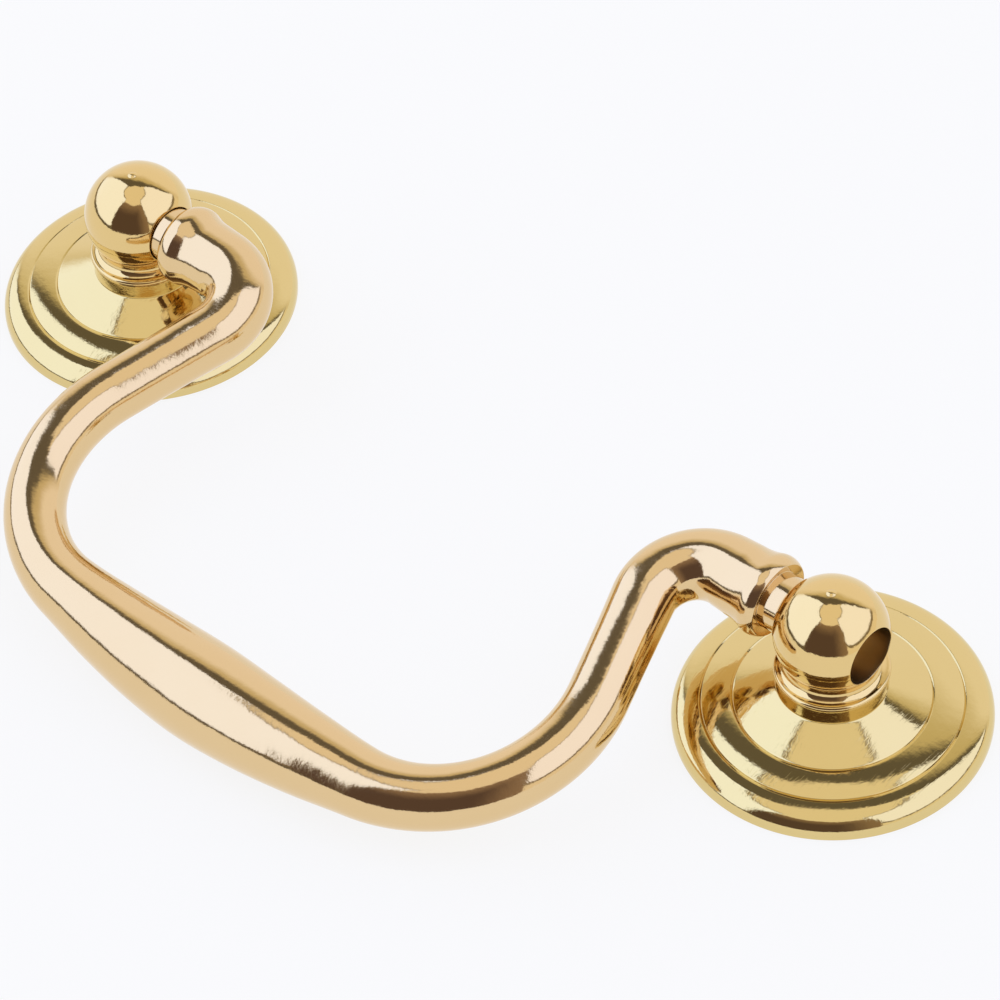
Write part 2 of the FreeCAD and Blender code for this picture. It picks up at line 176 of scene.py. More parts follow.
class BailSizes(bpy.types.PropertyGroup):
    """Sizes of the swan-neck bail"""
    pin_radius: length("Pin", "Pin in the cross bore", 2.425)
    pin_tip: length("Pin tip", "Pin's tip from the middle of the pull", PIN_TIP / MM)
    pin_chamfer: length("Pin chamfer", "Chamfer on the pin's tip", 0.4)
    end_gap: length("End gap", "Bail's end face to the ball", 0.7)
    rim_radius: length("Rim", "Rim round the end face", 3.2)
    bell_radius: length("Bell", "Bell-shaped end where it is widest", 3.53)
    bell_rounding: length("Bell rounding", "Rounding from the widest place in to the rim", 1.6)
    dish_depth: length("Dish", "Dish from the rim down to the pin", 0.3)
    bell_length: length("Bell length", "Bell from the knuckle to the end face", 3.35)
    knuckle_length: length("Knuckle", "Straight knuckle behind the bell", 1.4)
    neck_bend: length("Neck bend", "Bend of the swan neck, on the centreline", 4.5)
    neck_lean: angle("Neck lean", "Outward lean of the neck below that bend", 18)
    shoulder_bend: length("Shoulder bend", "Bend of the shoulder, on the centreline", 12.8)
    grip_bow: length("Grip bow", "Slight bow of the grip, on the centreline", 134)
    drop: length("Drop", "Swing axis to the middle of the grip", 32.7)
    knuckle_tube: length("Knuckle section", "Section radius where the bell begins", 3.12)
    neck_tube: length("Neck section", "Section radius in the middle of the neck", 2.8)
    lean_tube: length("Lean section", "Section radius between neck and shoulder", 2.55)
    shoulder_top_tube: length("Shoulder section", "Section radius a quarter of the way round", 2.57)
    shoulder_foot_tube: length("Shoulder foot", "Section radius three quarters round", 2.65)
    grip_end_tube: length("Grip end", "Section radius at the end of the grip", 2.93)
    grip_outer_tube: length("Outer grip", "Section radius a third of the way in", 3.48)
    grip_inner_tube: length("Inner grip", "Section radius two thirds of the way in", 3.94)
    grip_tube: length("Grip", "Section radius in the middle of the grip", 4.18)
    lie_gap: length("Lie gap", "Resting grip above the drawer front", 0.05)
    edge_break: length("Edge break", "Polish on the crisp edges", 0.08)
    around: count("Steps around", "Faces round the section", 80)


class RosetteFinish(bpy.types.PropertyGroup):
    """Lemon-yellow brass of the rosettes, turned and buffed"""
    shade: colour("Brass", "Colour of the brass", (0.75, 0.592, 0.268))
    roughness: share("Roughness", "Roughness of the polish", 0.05)
    wave_size: length("Wave size", "Width of the waves that buffing leaves", 0.7)
    wave_height: length("Wave height", "Height of those waves", 0.007)
    pit_size: length("Pit size", "Width of the fine pits", 0.16)
    pit_height: length("Pit height", "Depth of those pits", 0.0014)
    scratch_depth: length("Scratch depth", "Depth of the hairline scratches", 0.0008)
    tone: share("Tone", "How far the colour wanders over the surface", 0.12)


class PostFinish(bpy.types.PropertyGroup):
    """Warm brass of the posts, turned and buffed"""
    shade: colour("Brass", "Colour of the brass", (0.78, 0.579, 0.26))
    roughness: share("Roughness", "Roughness of the polish", 0.06)
    wave_size: length("Wave size", "Width of the waves that buffing leaves", 0.9)
    wave_height: length("Wave height", "Height of those waves", 0.014)
    pit_size: length("Pit size", "Width of the fine pits", 0.2)
    pit_height: length("Pit height", "Depth of those pits", 0.0016)
    scratch_depth: length("Scratch depth", "Depth of the hairline scratches", 0.0003)
    tone: share("Tone", "How far the colour wanders over the surface", 0.12)
    # Darker colour inside the cross bore is painted shade; the bore's roughness and drill marks are its real
    # drilled finish
    bore_shade: colour("Bore", "Colour of the drilled bore", (0.56, 0.43, 0.24))
    bore_roughness: share("Bore roughness", "Roughness of the drilled bore", 0.28)
    bore_mark: length("Drill mark", "Width of the drill's ring marks in the bore", 0.15)
    bore_mark_height: length("Drill mark height", "Height of those marks", 0.002)


class BailFinish(bpy.types.PropertyGroup):
    """Warm brass of the bail, cast and buffed"""
    shade: colour("Brass", "Colour of the brass", (0.773, 0.572, 0.311))
    roughness: share("Roughness", "Roughness of the polish", 0.085)
    wave_size: length("Wave size", "Width of the waves that buffing leaves", 2.2)
    wave_height: length("Wave height", "Height of those waves", 0.03)
    pit_size: length("Pit size", "Width of the fine pits", 0.22)
    pit_height: length("Pit height", "Depth of those pits", 0.004)
    scratch_depth: length("Scratch depth", "Depth of the hairline scratches", 0.00015)
    tone: share("Tone", "How far the colour wanders over the surface", 0.12)


class StudioSettings(bpy.types.PropertyGroup):
    """Camera, floor and tent"""
    camera_azimuth: angle("Camera azimuth", "Heading of the camera round the pull", 45.248)
    camera_elevation: angle("Camera elevation", "Height of the camera above the horizon", 47.093)
    camera_roll: angle("Camera roll", "Tilt of the camera about its own axis", -4.956)
    camera_distance: length("Camera distance", "From the camera to what it looks at", 388.889)
    camera_lens: FloatProperty(
        name="Lens", description="Focal length", default=168.05, unit="CAMERA")
    target: FloatVectorProperty(
        name="Target", description="What the camera looks at",
        default=(1.966 * MM, 0.808 * MM, 0), subtype="TRANSLATION")
    floor_size: length("Floor size", "Side of the floor", 6000)
    floor_shade: colour("Floor", "Colour of the floor", (0.85, 0.85, 0.85))
    floor_glow: share("Floor white", "How far the floor goes to white where it is seen", 0.85)
    roof: colour("Roof", "Warm white roof of the tent", (0.955, 0.89, 0.79))
    wall: colour("Wall", "Back wall of the tent", (1.0, 0.96, 0.96))
    wall_top: colour("Wall top", "Shaded top of the back wall", (0.7, 0.62, 0.42))
    left_panel: colour("Left panel", "Bright left wall", (1.21, 1.39, 2.0))
    right_panel: colour("Right panel", "Bright right wall", (1.18, 1.28, 1.75))
    seam: colour("Seams", "Seams round the bright walls", (0.26, 0.22, 0.17))
    arch: colour("Arch", "Dark arch round the back wall", (0.15, 0.135, 0.115))
    opening: colour("Opening", "Dark opening that the camera looks through", (0.115, 0.08, 0.073))
    side_opening: colour("Side opening", "Half-dark head and side of that opening", (0.3, 0.22, 0.17))


class PullSettings(bpy.types.PropertyGroup):
    """All settings of the bail pull"""
    rosette: PointerProperty(type=RosetteSizes)
    post: PointerProperty(type=PostSizes)
    bail: PointerProperty(type=BailSizes)
    rosette_finish: PointerProperty(type=RosetteFinish)
    post_finish: PointerProperty(type=PostFinish)
    bail_finish: PointerProperty(type=BailFinish)
    studio: PointerProperty(type=StudioSettings)


# Modelling helpers

class Section:
    """A section drawn point by point in the XZ plane, to be turned about an axis."""

    def __init__(self, x, z):
        self.mesh = bmesh.new()
        self.tip = self.mesh.verts.new((x, 0, z))

    def line_to(self, x, z, cuts=0):
        """A straight stretch in equal parts."""
        part = (Vector((x, 0, z)) - self.tip.co) / (cuts + 1)
        for _ in range(cuts + 1):
            self.tip = bmesh.ops.extrude_vert_indiv(self.mesh, verts=[self.tip])["verts"][0]
            bmesh.ops.translate(self.mesh, verts=[self.tip], vec=part)

    def arc_to(self, x, z, radius, turn, steps):
        """The short arc to a point; turn is 1 to the left and -1 to the right."""
        chord = Vector((x, 0, z)) - self.tip.co
        left = Vector((-chord.z, 0, chord.x)).normalized()
        rise = math.sqrt(max(radius ** 2 - (chord.length / 2) ** 2, 0))
        centre = self.tip.co + chord / 2 + left * rise * turn
        sweep = 2 * math.asin(min(chord.length / (2 * radius), 1))
        spun = bmesh.ops.spin(
            self.mesh, geom=[self.tip], cent=centre, axis=-Y_AXIS * turn, angle=sweep, steps=steps)
        self.tip = next(item for item in spun["geom_last"] if isinstance(item, bmesh.types.BMVert))

    def turned(self, axis, centre, steps, edge_break=0):
        """The full turn of the section about an axis, with its crisp edges broken."""
        mesh = self.mesh
        bmesh.ops.spin(
            mesh, geom=mesh.verts[:] + mesh.edges[:], cent=centre, axis=axis,
            angle=2 * math.pi, steps=steps, use_merge=True)
        bmesh.ops.remove_doubles(mesh, verts=mesh.verts, dist=SEAM)
        bmesh.ops.recalc_face_normals(mesh, faces=mesh.faces)
        if edge_break:
            break_edges(mesh, edge_break)
        return mesh


def break_edges(mesh, offset):
    """Rounds every crisp edge as polishing does."""
    crisp = [edge for edge in mesh.edges if edge.is_manifold and edge.calc_face_angle() > CRISP]
    bmesh.ops.bevel(
        mesh, geom=crisp, offset=offset, offset_type="OFFSET", affect="EDGES",
        segments=BREAK_SEGMENTS, profile=0.5, material=-1, clamp_overlap=True)


def everything(mesh):
    """All that a bmesh holds, as its operators take it."""
    return mesh.verts[:] + mesh.edges[:] + mesh.faces[:]


def cut_flat(mesh, height, outwards):
    """Cuts a shell off at a height and closes the cut."""
    cut = bmesh.ops.bisect_plane(
        mesh, geom=everything(mesh), dist=ON_PLANE,
        plane_co=(0, 0, height), plane_no=outwards, clear_outer=True)
    rim = [item for item in cut["geom_cut"] if isinstance(item, bmesh.types.BMEdge)]
    bmesh.ops.edgeloop_fill(mesh, edges=rim)


def write_mesh(mesh, data):
    """Writes a finished bmesh to mesh data, shaded smooth apart from hard creases."""
    mesh.to_mesh(data)
    mesh.free()
    data.shade_smooth()
    data.set_sharp_from_angle(angle=CREASE)


def to_object(mesh, name):
    """A scene object from a finished bmesh."""
    data = bpy.data.meshes.new(name)
    write_mesh(mesh, data)
    piece = bpy.data.objects.new(name, data)
    bpy.context.scene.collection.objects.link(piece)
    return piece


def joined(name, shells, cutters):
    """One mesh of overlapping closed shells, united, with the cutters taken away."""
    pieces = [to_object(mesh, f"{name}_shell") for mesh in shells]
    tools = [to_object(mesh, f"{name}_cutter") for mesh in cutters]
    first = pieces[0]
    for operation, others in (("UNION", pieces[1:]), ("DIFFERENCE", tools)):
        for other in others:
            change = first.modifiers.new("change", "BOOLEAN")
            change.operation = operation
            change.solver = "EXACT"
            change.object = other
    graph = bpy.context.evaluated_depsgraph_get()
    data = bpy.data.meshes.new_from_object(first.evaluated_get(graph))
    for part in pieces + tools:
        bpy.data.meshes.remove(part.data)
    clean = bmesh.new()
    clean.from_mesh(data)
    bmesh.ops.remove_doubles(clean, verts=clean.verts, dist=SLIVER)
    bmesh.ops.recalc_face_normals(clean, faces=clean.faces)
    write_mesh(clean, data)
    return data


def hand_over(piece, node, body, material):
    """Lets a finished piece stand for its CAD node."""
    piece.data.materials.clear()
    piece.data.materials.append(material)
    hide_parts(node)
    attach(piece, body)


# Materials

# How each lay of hairlines is turned, and how fine it is along each axis, in lines a metre
HAIRLINE_LAYS = (
    ((0.2, 0.3, 0.9), (2400, 110, 2400)),
    ((0.5, -0.2, -0.6), (1900, 90, 1900)),
)
HAIRLINE_WIDTH = 0.025          # share of the noise's range that a hairline takes
CLOUDS = 240.0                  # wandering tone, in clouds a metre
SPECKS = 2600.0                 # uneven polish, in specks a metre
TARNISH = (0.86, 0.74, 0.5, 1)  # what the tone wanders towards
SOCKETS = {"Vector": "NodeSocketVector", "Color": "NodeSocketColor"}


def feed(tree, socket, value):
    """Links an output to a socket, or sets a plain value on it."""
    if isinstance(value, bpy.types.NodeSocket):
        tree.links.new(value, socket)
    else:
        socket.default_value = value


def add_node(tree, kind, group=None, **inputs):
    """A shader node with some of its inputs linked or set by name; a group node is given its group."""
    node = tree.nodes.new(kind)
    if group:
        node.node_tree = group
    for name, value in inputs.items():
        feed(tree, node.inputs[name.replace("_", " ")], value)
    return node


def maths(tree, operation, *values):
    """A Math node's output."""
    node = tree.nodes.new("ShaderNodeMath")
    node.operation = operation
    for socket, value in zip(node.inputs, values):
        feed(tree, socket, value)
    return node.outputs["Value"]


def mixed(tree, kind, mask, first, second, blend="MIX"):
    """A Mix node's output between two colours or two values."""
    node = tree.nodes.new("ShaderNodeMix")
    node.data_type = kind
    node.blend_type = blend
    tree.links.new(mask, node.inputs[0])
    ends = [socket for socket in node.inputs if socket.enabled and socket.name in "AB"]
    for socket, value in zip(ends, (first, second)):
        feed(tree, socket, value)
    return next(socket for socket in node.outputs if socket.enabled)


def mixed_shaders(tree, mask, first, second):
    """A Mix Shader node's output."""
    node = tree.nodes.new("ShaderNodeMixShader")
    for socket, value in zip(node.inputs, (mask, first, second)):
        tree.links.new(value, socket)
    return node.outputs["Shader"]


def empty_tree(owner):
    """The cleared node tree of a material or a world."""
    owner.use_nodes = True
    owner.node_tree.nodes.clear()
    return owner.node_tree


def shared(build):
    """Lets a node group be built once, under its function's name, and given again after that."""
    name = build.__name__

    def give():
        if name not in bpy.data.node_groups:
            build(name)
        return bpy.data.node_groups[name]
    return give


def new_group(name, inputs, outputs):
    """An empty shader node group with named sockets: its tree, what it is given and what it puts out."""
    tree = bpy.data.node_groups.new(name, "ShaderNodeTree")
    for way, labels in (("INPUT", inputs), ("OUTPUT", outputs)):
        for label in labels:
            kind = SOCKETS.get(label, "NodeSocketFloat")
            tree.interface.new_socket(label, in_out=way, socket_type=kind)
    return tree, tree.nodes.new("NodeGroupInput").outputs, tree.nodes.new("NodeGroupOutput").inputs


@shared
def hairlines(name):
    """Group: one on fine scratches that run two ways, nought elsewhere."""
    tree, given, result = new_group(name, ["Vector"], ["Mask"])
    lines = []
    for turn, fineness in HAIRLINE_LAYS:
        lay = add_node(tree, "ShaderNodeMapping", Vector=given["Vector"], Rotation=turn, Scale=fineness)
        noise = add_node(
            tree, "ShaderNodeTexNoise", Vector=lay.outputs["Vector"], Scale=1.0, Detail=1.0, Roughness=0.5)
        away = maths(tree, "ABSOLUTE", maths(tree, "SUBTRACT", noise.outputs["Fac"], 0.5))
        thin = add_node(
            tree, "ShaderNodeMapRange", Value=away, From_Max=HAIRLINE_WIDTH, To_Min=1, To_Max=0)
        lines.append(thin.outputs["Result"])
    feed(tree, result["Mask"], maths(tree, "MAXIMUM", *lines))


@shared
def buffed_surface(name):
    """Group: the height of buffing waves, fine pits and scratches, in metres."""
    tree, given, result = new_group(
        name, ["Vector", "Waves", "Wave Height", "Pits", "Pit Height", "Scratch Depth"], ["Height"])
    place = given["Vector"]
    waves = add_node(
        tree, "ShaderNodeTexNoise", Vector=place, Scale=given["Waves"], Detail=2.0, Roughness=0.45)
    pits = add_node(
        tree, "ShaderNodeTexNoise", Vector=place, Scale=given["Pits"], Detail=2.0, Roughness=0.6)
    scratches = add_node(tree, "ShaderNodeGroup", hairlines(), Vector=place)
    raised = maths(tree, "MULTIPLY", waves.outputs["Fac"], given["Wave Height"])
    sunk = maths(tree, "MULTIPLY", pits.outputs["Fac"], given["Pit Height"])
    cut = maths(tree, "MULTIPLY", scratches.outputs["Mask"], given["Scratch Depth"])
    feed(tree, result["Height"], maths(tree, "SUBTRACT", maths(tree, "ADD", raised, sunk), cut))


@shared
def brass_tone(name):
    """Group: a colour that wanders a little over the surface, and the polish's roughness."""
    tree, given, result = new_group(
        name, ["Vector", "Color", "Tone", "Roughness"], ["Color", "Roughness"])
    place = given["Vector"]
    clouds = add_node(
        tree, "ShaderNodeTexNoise", Vector=place, Scale=CLOUDS, Detail=3.0, Roughness=0.55)
    wander = maths(tree, "MULTIPLY", clouds.outputs["Fac"], given["Tone"])
    feed(tree, result["Color"], mixed(tree, "RGBA", wander, given["Color"], TARNISH, "MULTIPLY"))
    specks = add_node(
        tree, "ShaderNodeTexNoise", Vector=place, Scale=SPECKS, Detail=4.0, Roughness=0.7)
    uneven = maths(tree, "ADD", specks.outputs["Fac"], 0.5)
    feed(tree, result["Roughness"], maths(tree, "MULTIPLY", uneven, given["Roughness"]))


@shared
def drilled_bore(name):
    """Group: one inside a bore along X, nought outside it, and the height of the drill's ring marks."""
    tree, given, result = new_group(
        name, ["Vector", "Axis Height", "Radius", "Marks", "Mark Height"], ["Mask", "Height"])
    x, y, z = add_node(tree, "ShaderNodeSeparateXYZ", Vector=given["Vector"]).outputs
    up = maths(tree, "SUBTRACT", z, given["Axis Height"])
    squares = [maths(tree, "MULTIPLY", side, side) for side in (y, up)]
    out = maths(tree, "SQRT", maths(tree, "ADD", *squares))
    feed(tree, result["Mask"], maths(tree, "LESS_THAN", out, given["Radius"]))
    rings = add_node(tree, "ShaderNodeTexNoise", Scale=given["Marks"], Detail=1.0)
    rings.noise_dimensions = "1D"
    feed(tree, rings.inputs["W"], x)
    feed(tree, result["Height"], maths(tree, "MULTIPLY", rings.outputs["Fac"], given["Mark Height"]))


def polished_brass(name, finish, bore_radius=None):
    """Polished brass with one piece's finish, and a drilled bore where the piece has one; the bore's darker
    colour is painted shade.
    """
    material = bpy.data.materials.new(name)
    tree = empty_tree(material)
    place = tree.nodes.new("ShaderNodeTexCoord").outputs["Object"]
    tone = add_node(
        tree, "ShaderNodeGroup", brass_tone(), Vector=place,
        Color=(*finish.shade, 1), Tone=finish.tone, Roughness=finish.roughness)
    buff = add_node(
        tree, "ShaderNodeGroup", buffed_surface(), Vector=place,
        Waves=1 / finish.wave_size, Wave_Height=finish.wave_height,
        Pits=1 / finish.pit_size, Pit_Height=finish.pit_height, Scratch_Depth=finish.scratch_depth)
    shade, roughness = tone.outputs["Color"], tone.outputs["Roughness"]
    height = buff.outputs["Height"]
    if bore_radius:
        bore = add_node(
            tree, "ShaderNodeGroup", drilled_bore(), Vector=place,
            Axis_Height=SWING_HEIGHT, Radius=bore_radius + BORE_MARGIN,
            Marks=1 / finish.bore_mark, Mark_Height=finish.bore_mark_height)
        inside = bore.outputs["Mask"]
        # Inside the bore the colour goes darker as painted shade; roughness and marks below are the drilled
        # finish
        shade = mixed(tree, "RGBA", inside, shade, (*finish.bore_shade, 1))
        roughness = mixed(tree, "FLOAT", inside, roughness, finish.bore_roughness)
        height = mixed(tree, "FLOAT", inside, height, bore.outputs["Height"])
    bump = add_node(tree, "ShaderNodeBump", Strength=1.0, Distance=1.0, Height=height)
    surface = add_node(
        tree, "ShaderNodeBsdfPrincipled", Metallic=1.0,
        Base_Color=shade, Roughness=roughness, Normal=bump.outputs["Normal"])
    add_node(tree, "ShaderNodeOutputMaterial", Surface=surface.outputs["BSDF"])
    return material


# Pieces

def arc_run(radius, foot_tilt, top_tilt):
    """How far in and how far up an arc goes between two tilts."""
    return (radius * (math.sin(foot_tilt) - math.sin(top_tilt)),
            radius * (math.cos(top_tilt) - math.cos(foot_tilt)))


def arc_fall(radius, tilt, width):
    """How far an arc falls over a width outwards from where it has a tilt."""
    return radius * (math.cos(tilt) - math.cos(math.asin(math.sin(tilt) + width / radius)))


def rosette_mesh(size):
    """Rounded rim, crowned lower tier, upper tier, cone and collar, relieved behind."""
    roll_end = size.radius - size.rim_roll * (1 - math.sin(size.roll_tilt))
    roll_top = size.rim_land + size.rim_roll * math.cos(size.roll_tilt)
    outer_run, outer_rise = arc_run(size.crown_radius, size.roll_tilt, size.crown_break)
    inner_run, inner_rise = arc_run(size.crown_flat, size.crown_break, size.crown_tilt)
    break_end = roll_end - outer_run
    break_top = roll_top + outer_rise
    crown_end = break_end - inner_run
    crown_top = break_top + inner_rise
    tier_radius = size.tier_width / (math.sin(size.tier_foot_tilt) - math.sin(size.tier_top_tilt))
    tier_rise = arc_run(tier_radius, size.tier_foot_tilt, size.tier_top_tilt)[1]
    tier_foot = crown_top + size.crown_step
    tier_end = crown_end - size.tier_width
    tier_top = tier_foot + tier_rise
    cone_foot = tier_top + size.tier_step

    section = Section(size.hole_radius, size.recess_depth)
    section.line_to(size.recess_radius, size.recess_depth, cuts=5)
    section.line_to(size.recess_radius, 0, cuts=1)
    section.line_to(size.radius, 0, cuts=3)
    section.line_to(size.radius, size.rim_land, cuts=1)
    section.arc_to(roll_end, roll_top, size.rim_roll, 1, steps=20)
    section.arc_to(break_end, break_top, size.crown_radius, 1, steps=14)
    section.arc_to(crown_end + size.quirk_width,
                   crown_top - arc_fall(size.crown_flat, size.crown_tilt, size.quirk_width),
                   size.crown_flat, 1, steps=12)
    section.line_to(crown_end, crown_top - size.quirk_depth)
    section.line_to(crown_end, tier_foot)
    section.arc_to(tier_end + size.quirk_width,
                   tier_top - arc_fall(tier_radius, size.tier_top_tilt, size.quirk_width),
                   tier_radius, 1, steps=24)
    section.line_to(tier_end, tier_top - size.quirk_depth)
    section.line_to(tier_end, cone_foot)
    section.line_to(size.collar_radius, cone_foot + size.cone_rise, cuts=20)
    section.line_to(size.collar_radius, size.collar_top, cuts=6)
    section.line_to(size.hole_radius, size.collar_top, cuts=4)
    section.line_to(size.hole_radius, size.recess_depth, cuts=4)
    return section.turned(Z_AXIS, ORIGIN, size.around, size.edge_break)


def ball_mesh(size):
    """The ball, turned about its cross bore and cut off flat inside the neck."""
    middle = Vector((0, 0, SWING_HEIGHT))
    mouth = math.sqrt(size.ball_radius ** 2 - size.bore_radius ** 2)
    section = Section(-mouth, SWING_HEIGHT + size.bore_radius)
    section.line_to(mouth, SWING_HEIGHT + size.bore_radius, cuts=12)
    section.arc_to(-mouth, SWING_HEIGHT + size.bore_radius, size.ball_radius, 1, steps=84)
    mesh = section.turned(X_AXIS, middle, size.around, size.bore_break)
    neck_top = SWING_HEIGHT - math.sqrt(size.ball_radius ** 2 - size.neck_radius ** 2)
    cut_flat(mesh, neck_top - BALL_LAP, -Z_AXIS)
    bmesh.ops.recalc_face_normals(mesh, faces=mesh.faces)
    return mesh


def stem_mesh(size):
    """Spigot, beaded flange, cove and neck."""
    flange_foot = COLLAR_TOP
    flange_top = flange_foot + size.flange_thickness
    bead = size.neck_radius + size.flange_cove
    neck_top = flange_top + size.neck_rise
    section = Section(0, size.spigot_recess)
    section.line_to(size.spigot_radius, size.spigot_recess, cuts=4)
    section.line_to(size.spigot_radius, flange_foot, cuts=8)
    section.line_to(bead, flange_foot, cuts=4)
    section.arc_to(bead, flange_top, size.flange_thickness / 2, 1, steps=14)
    section.arc_to(size.neck_radius, flange_top + size.flange_cove, size.flange_cove, -1, steps=14)
    section.line_to(size.neck_radius, neck_top + NECK_LAP, cuts=4)
    section.line_to(0, neck_top + NECK_LAP, cuts=2)
    return section.turned(Z_AXIS, ORIGIN, size.around, size.edge_break)


def pip_mesh(size):
    """The small turning pip left on top of the ball."""
    foot = SWING_HEIGHT + math.sqrt(size.ball_radius ** 2 - size.pip_radius ** 2)
    top = SWING_HEIGHT + size.ball_radius + size.pip_height
    cap = top - foot
    curve = (size.pip_radius ** 2 + cap ** 2) / (2 * cap)
    section = Section(0, foot - PIP_LAP)
    section.line_to(size.pip_radius, foot - PIP_LAP)
    section.line_to(size.pip_radius, foot)
    section.arc_to(0, top, curve, 1, steps=10)
    return section.turned(Z_AXIS, ORIGIN, PIP_STEPS)


def tap_mesh(size):
    """The tap that cuts the thread: a V groove wound up from below the spigot."""
    pitch = size.thread_pitch
    low = size.spigot_recess - CUT_MARGIN
    high = size.thread_top - size.thread_runout
    turns = math.ceil((high - low) / pitch) + 2
    groove = Section(size.thread_radius, low - pitch)
    groove.line_to(size.thread_major, low - pitch / 2)
    groove.line_to(size.thread_radius, low)
    mesh = groove.mesh
    bmesh.ops.spin(
        mesh, geom=mesh.verts[:] + mesh.edges[:], cent=ORIGIN, axis=Z_AXIS, angle=turns * 2 * math.pi,
        dvec=Z_AXIS * pitch / THREAD_STEPS, steps=turns * THREAD_STEPS)
    bmesh.ops.remove_doubles(mesh, verts=mesh.verts, dist=SLIVER)
    cut_flat(mesh, low, -Z_AXIS)
    cut_flat(mesh, high, Z_AXIS)
    bmesh.ops.recalc_face_normals(mesh, faces=mesh.faces)
    return mesh


def drill_mesh(size):
    """The tapping drill with its point, and the countersink at the hole's mouth."""
    foot = size.spigot_recess - CUT_MARGIN
    radius = size.thread_radius - DRILL_PLAY
    mouth = size.thread_major + CUT_MARGIN
    section = Section(0, foot)
    section.line_to(mouth + CUT_MARGIN, foot)
    section.line_to(radius, foot + mouth + CUT_MARGIN - radius)
    section.line_to(radius, size.thread_top)
    section.line_to(0, size.thread_top + radius / math.tan(size.drill_point / 2))
    return section.turned(Z_AXIS, ORIGIN, 2 * THREAD_STEPS)


class Rod:
    """A round rod grown ring by ring along a path in the XY plane."""

    def __init__(self, centre, radius, around):
        self.mesh = bmesh.new()
        self.centre = Vector(centre)
        self.radius = radius
        self.heading = -X_AXIS
        facing = Matrix.Translation(self.centre) @ Matrix.Rotation(math.pi / 2, 4, "Y")
        bmesh.ops.create_circle(self.mesh, cap_ends=True, radius=radius, segments=around, matrix=facing)
        self.ring = self.mesh.edges[:]

    def grow(self):
        """Extrudes the last ring and gives its vertices."""
        made = bmesh.ops.extrude_edge_only(self.mesh, edges=self.ring)["geom"]
        verts = [item for item in made if isinstance(item, bmesh.types.BMVert)]
        fresh = set(verts)
        self.ring = [item for item in made
                     if isinstance(item, bmesh.types.BMEdge) and fresh.issuperset(item.verts)]
        return verts

    def swell(self, verts, radius):
        """Brings the ring to a new radius."""
        factor = radius / self.radius
        bmesh.ops.scale(
            self.mesh, verts=verts, vec=(factor, factor, factor), space=Matrix.Translation(-self.centre))
        self.radius = radius

    def straight(self, distance, radius):
        """One ring further along the heading."""
        verts = self.grow()
        step = self.heading * distance
        bmesh.ops.translate(self.mesh, verts=verts, vec=step)
        self.centre += step
        self.swell(verts, radius)

    def bend(self, centre, turn, radius):
        """One ring further round a bend's centre."""
        verts = self.grow()
        rotation = Matrix.Rotation(turn, 3, "Z")
        bmesh.ops.rotate(self.mesh, verts=verts, cent=centre, matrix=rotation)
        self.centre = centre + rotation @ (self.centre - centre)
        self.heading = rotation @ self.heading
        self.swell(verts, radius)


def swell_law(stations):
    """A smooth radius through stations of path length and radius."""
    slopes = []
    for index in range(len(stations)):
        before = stations[max(index - 1, 0)]
        after = stations[min(index + 1, len(stations) - 1)]
        slopes.append((after[1] - before[1]) / (after[0] - before[0]))
    slopes[-1] = 0

    def radius(along):
        index = 0
        while index < len(stations) - 2 and along > stations[index + 1][0]:
            index += 1
        (start, low), (end, high) = stations[index], stations[index + 1]
        span = end - start
        t = (along - start) / span
        return ((2 * t ** 3 - 3 * t ** 2 + 1) * low + (t ** 3 - 2 * t ** 2 + t) * span * slopes[index]
                + (3 * t ** 2 - 2 * t ** 3) * high + (t ** 3 - t ** 2) * span * slopes[index + 1])
    return radius


def grow_bail_end(rod, size, end_face):
    """Pin, dished face, and the bell with its rounded rim and hollow back; gives where the bell ends."""

    def ring_at(x, radius):
        rod.straight(rod.centre.x - x, radius)

    ring_at(size.pin_tip - size.pin_chamfer, size.pin_radius)
    pin_length = rod.centre.x - (end_face - size.dish_depth)
    for _ in range(PIN_RINGS):
        rod.straight(pin_length / PIN_RINGS, size.pin_radius)
    rim_spot = math.acos(1 - (size.bell_radius - size.rim_radius) / size.bell_rounding)
    widest = end_face - size.bell_rounding * math.sin(rim_spot)
    knuckle_end = end_face - size.bell_length
    swell = widest - knuckle_end
    back = 2 * math.atan((size.bell_radius - size.knuckle_tube) / swell)
    hollow = swell / math.sin(back) - size.bell_rounding
    for step in range(BELL_RINGS + 1):
        spot = rim_spot - (rim_spot + back) * step / BELL_RINGS
        ring_at(widest + size.bell_rounding * math.sin(spot),
                size.bell_radius - size.bell_rounding * (1 - math.cos(spot)))
    for step in range(HOLLOW_RINGS - 1, -1, -1):
        spot = back * step / HOLLOW_RINGS
        ring_at(knuckle_end + hollow * math.sin(spot),
                size.knuckle_tube + hollow * (1 - math.cos(spot)))
    return knuckle_end


